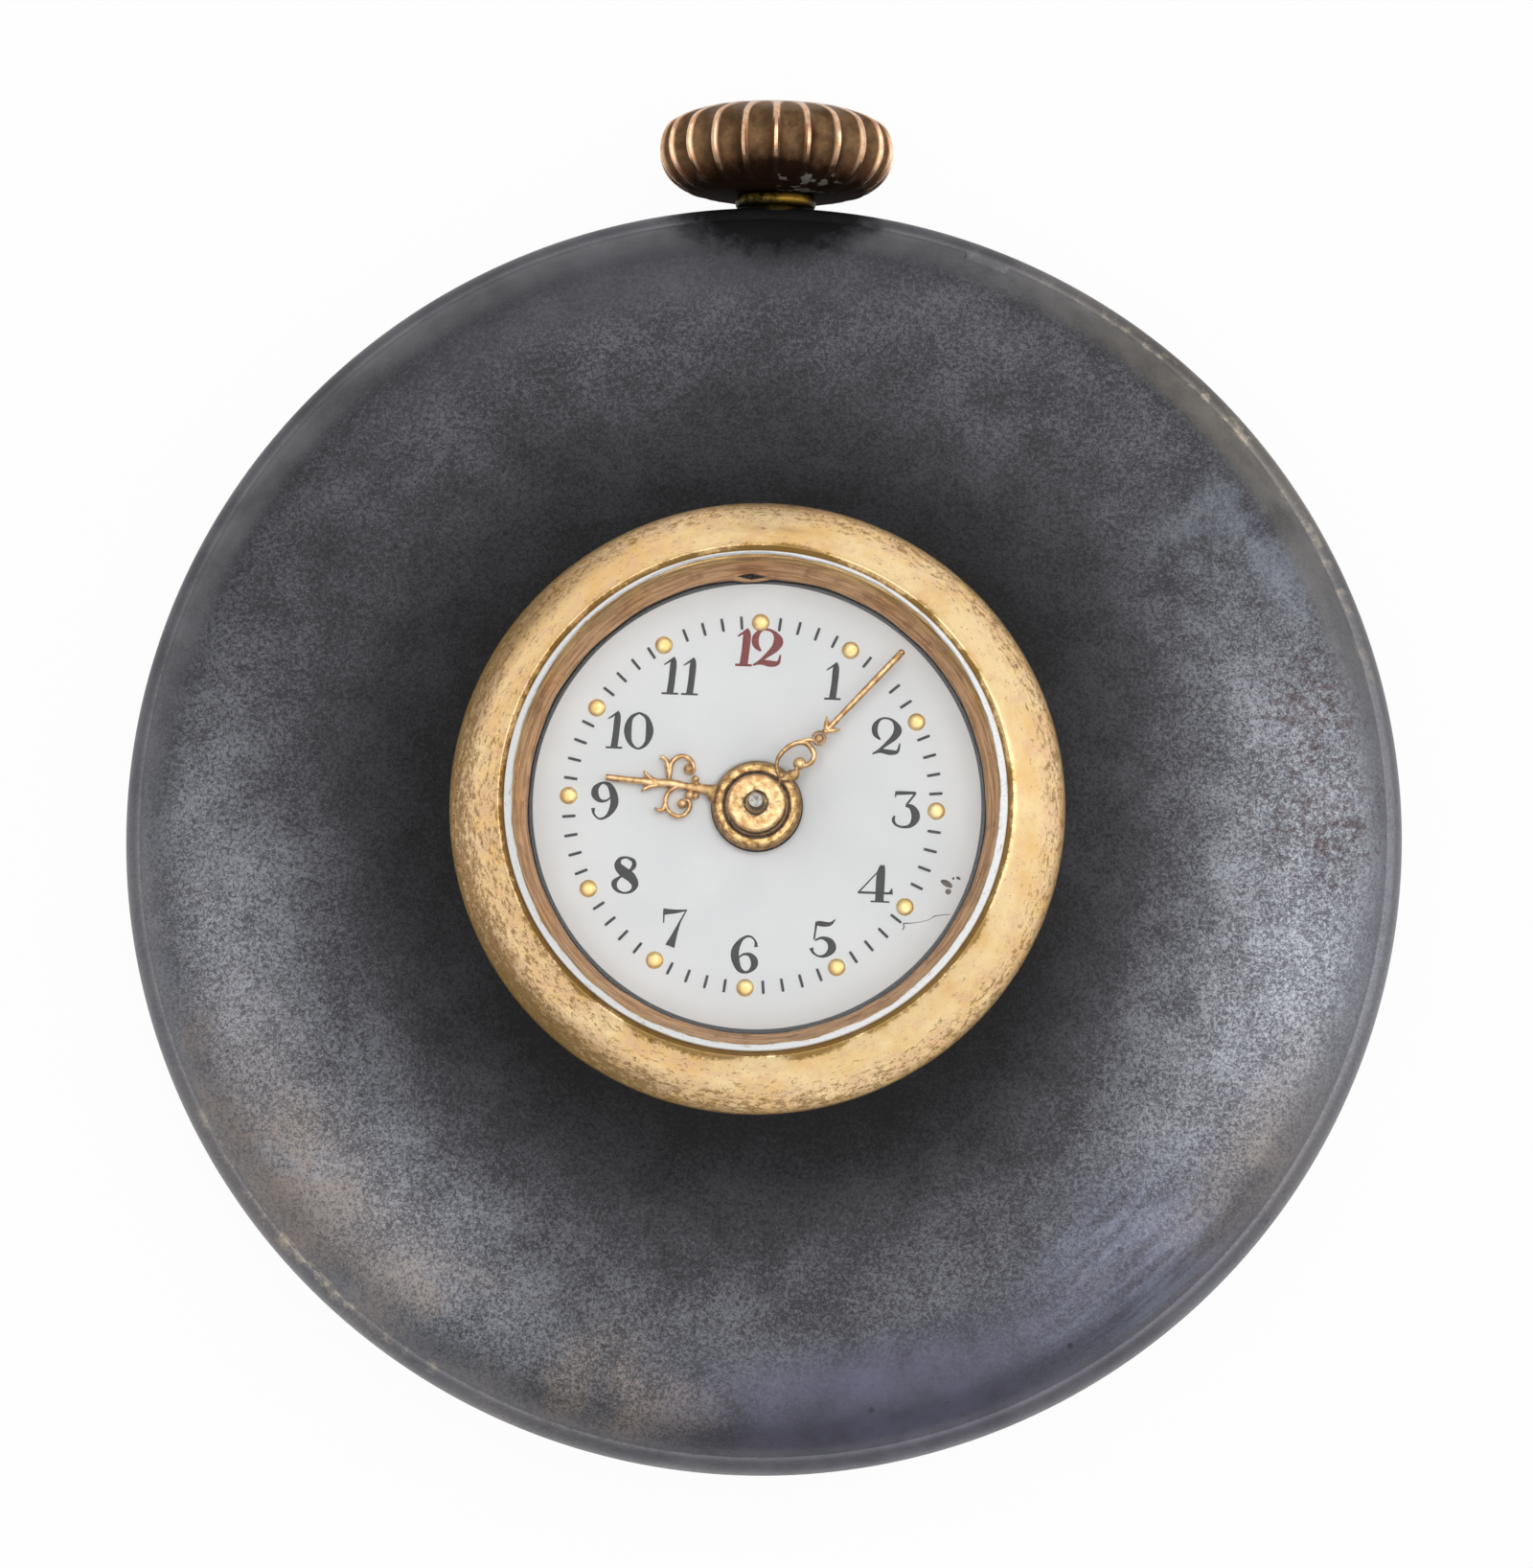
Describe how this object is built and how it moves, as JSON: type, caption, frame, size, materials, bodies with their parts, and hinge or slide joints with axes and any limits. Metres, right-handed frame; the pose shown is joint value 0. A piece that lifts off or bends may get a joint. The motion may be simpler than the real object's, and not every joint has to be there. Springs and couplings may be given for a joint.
{
  "type": "buttonhole watch",
  "caption": "Flared gunmetal lapel watch: small white dial in a gold bezel on a narrow neck, fluted crown, hand-wound movement inside a round case.",
  "frame": {"origin": "centre of the flat on the back, on which the watch lies", "axes": "+Z out of the dial, +Y towards the crown, +X towards the three o'clock side"},
  "size_m": [0.028, 0.0302, 0.0101],
  "materials": {
    "gunmetal": "gunmetal blued steel, worn",
    "rosegold": "rose gold plating, worn",
    "copper": "copper, polished",
    "enamel": "white enamel",
    "gilt": "gilt brass",
    "brass": "brass, grained",
    "steel": "polished steel",
    "blued_steel": "blued steel",
    "glass": "clear glass",
    "ruby": "polished ruby"
  },
  "bodies": {
    "watch": {"case_body": "gunmetal", "pendant_tube": "gilt", "movement_ring": "brass", "case_screw_1": "blued_steel", "case_screw_2": "blued_steel", "main_plate": "brass", "barrel_bridge": "brass", "third_cock": "brass", "fourth_cock": "brass", "escape_cock": "brass", "balance_cock": "brass", "bridge_screw_1": "blued_steel", "bridge_screw_2": "blued_steel", "bridge_screw_3": "blued_steel", "bridge_screw_4": "blued_steel", "bridge_screw_5": "blued_steel", "bridge_screw_6": "blued_steel", "dial": "enamel", "dial_base": "copper", "crown_wheel_screw": "blued_steel", "click_screw": "blued_steel", "click_spring": "blued_steel", "hairspring": "blued_steel", "hairspring_stud": "steel", "end_jewel": "ruby"},
    "front": {"case_front": "gunmetal", "bezel_ring": "rosegold", "rehaut_ring": "copper", "crystal": "glass"},
    "winding": {"winding_pinion": "steel"},
    "crown_and_stem": {"crown": "rosegold", "winding_stem": "steel"},
    "sliding": {"sliding_pinion": "steel"},
    "setting_lever_body": {"setting_lever": "steel"},
    "yoke_body": {"yoke": "steel"},
    "crown_wheel_body": {"crown_wheel": "steel"},
    "ratchet": {"ratchet_wheel": "steel", "ratchet_screw": "blued_steel", "barrel_arbor": "steel"},
    "click_body": {"click": "steel"},
    "barrel": {"barrel_drum": "gilt", "barrel_cover": "gilt", "mainspring": "blued_steel"},
    "centre": {"centre_wheel": "gilt"},
    "third": {"third_wheel": "gilt"},
    "fourth": {"fourth_wheel": "gilt"},
    "escape": {"escape_wheel": "steel"},
    "balance": {"balance_wheel": "gilt", "balance_staff": "steel"},
    "regulator_body": {"regulator": "steel"},
    "minute": {"minute_hand": "gilt", "cannon_pinion": "steel"},
    "minute_wheel_body": {"minute_wheel": "brass"},
    "hour": {"hour_hand": "gilt", "hour_wheel": "brass"},
    "setting_wheel_body": {"setting_wheel": "steel"}
  },
  "joints": [
    {"name": "front_lift", "type": "slide", "parent": "watch", "child": "front", "axis": [0, 0, 1], "range_m": [0, 0.009]},
    {"name": "crown_turn", "type": "hinge", "parent": "watch", "child": "winding", "pos_m": [0, 0.00912, 0.00275], "axis": [0, 1, 0], "continuous": true},
    {"name": "crown_pull", "type": "slide", "parent": "winding", "child": "crown_and_stem", "axis": [0, 1, 0], "range_m": [0, 0.0007]},
    {"name": "sliding_pinion_slide", "type": "slide", "parent": "winding", "child": "sliding", "axis": [0, -1, 0], "range_m": [0, 0.0007]},
    {"name": "setting_lever_turn", "type": "hinge", "parent": "watch", "child": "setting_lever_body", "pos_m": [0.0023, 0.00967, 0.00398], "axis": [0, 0, -1], "range_deg": [0, 18]},
    {"name": "yoke_turn", "type": "hinge", "parent": "watch", "child": "yoke_body", "pos_m": [0.0028, 0.00776, 0.00398], "axis": [0, 0, 1], "range_deg": [0, 15]},
    {"name": "crown_wheel_turn", "type": "hinge", "parent": "watch", "child": "crown_wheel_body", "pos_m": [0, 0.0062, 0.00135], "axis": [0, 0, 1], "continuous": true},
    {"name": "ratchet_turn", "type": "hinge", "parent": "watch", "child": "ratchet", "pos_m": [0.00471, 0.00178, 0.00135], "axis": [0, 0, 1], "continuous": true, "deforming": ["mainspring"]},
    {"name": "click_turn", "type": "hinge", "parent": "watch", "child": "click_body", "pos_m": [0.00692, -0.00204, 0.00135], "axis": [0, 0, -1], "range_deg": [0, 10], "stiffness_Nm_per_rad": 0.00002, "deforming": ["click_spring"]},
    {"name": "fourth_turn", "type": "hinge", "parent": "watch", "child": "fourth", "pos_m": [-0.00368, -0.00216, 0.0026], "axis": [0, 0, -1], "continuous": true},
    {"name": "third_turn", "type": "hinge", "parent": "watch", "child": "third", "pos_m": [-0.00367, 0.0009, 0.003], "axis": [0, 0, -1], "continuous": true},
    {"name": "centre_turn", "type": "hinge", "parent": "watch", "child": "centre", "pos_m": [0, 0, 0.0023], "axis": [0, 0, -1], "continuous": true},
    {"name": "barrel_turn", "type": "hinge", "parent": "watch", "child": "barrel", "pos_m": [0.00471, 0.00178, 0.003], "axis": [0, 0, -1], "continuous": true},
    {"name": "escape_turn", "type": "hinge", "parent": "watch", "child": "escape", "pos_m": [-0.00251, -0.0047, 0.003], "axis": [0, 0, -1], "continuous": true},
    {"name": "balance_swing", "type": "hinge", "parent": "watch", "child": "balance", "pos_m": [-0.0017, -0.00648, 0.0019], "axis": [0, 0, 1], "range_deg": [-130, 130], "stiffness_Nm_per_rad": 0.00000008, "deforming": ["hairspring"]},
    {"name": "regulator_turn", "type": "hinge", "parent": "watch", "child": "regulator_body", "pos_m": [-0.0017, -0.00648, 0.001], "axis": [0, 0, 1], "range_deg": [-15, 15]},
    {"name": "minute_hand_turn", "type": "hinge", "parent": "watch", "child": "minute", "pos_m": [0, 0, 0.0091], "axis": [0, 0, -1], "continuous": true},
    {"name": "minute_wheel_turn", "type": "hinge", "parent": "watch", "child": "minute_wheel_body", "pos_m": [0, 0.002, 0.0041], "axis": [0, 0, -1], "continuous": true},
    {"name": "hour_hand_turn", "type": "hinge", "parent": "watch", "child": "hour", "pos_m": [0, 0, 0.0088], "axis": [0, 0, -1], "continuous": true},
    {"name": "setting_wheel_turn", "type": "hinge", "parent": "watch", "child": "setting_wheel_body", "pos_m": [0, 0.00525, 0.0041], "axis": [0, 0, -1], "continuous": true}
  ],
  "couplings": [
    {"joint": "sliding_pinion_slide", "follows": "crown_pull", "ratio": 1},
    {"joint": "setting_lever_turn", "follows": "crown_pull", "rad_per_m": 434.78},
    {"joint": "yoke_turn", "follows": "crown_pull", "rad_per_m": 357.14},
    {"joint": "crown_wheel_turn", "follows": "crown_turn", "ratio": 0.375},
    {"joint": "ratchet_turn", "follows": "crown_turn", "ratio": -0.33333},
    {"joint": "third_turn", "follows": "fourth_turn", "ratio": -0.13333},
    {"joint": "centre_turn", "follows": "fourth_turn", "ratio": 0.016667},
    {"joint": "barrel_turn", "follows": "fourth_turn", "ratio": -0.0020833},
    {"joint": "escape_turn", "follows": "fourth_turn", "ratio": -10},
    {"joint": "minute_wheel_turn", "follows": "minute_hand_turn", "ratio": -0.33333},
    {"joint": "hour_hand_turn", "follows": "minute_hand_turn", "ratio": 0.083333},
    {"joint": "setting_wheel_turn", "follows": "minute_hand_turn", "ratio": 0.28571}
  ]
}
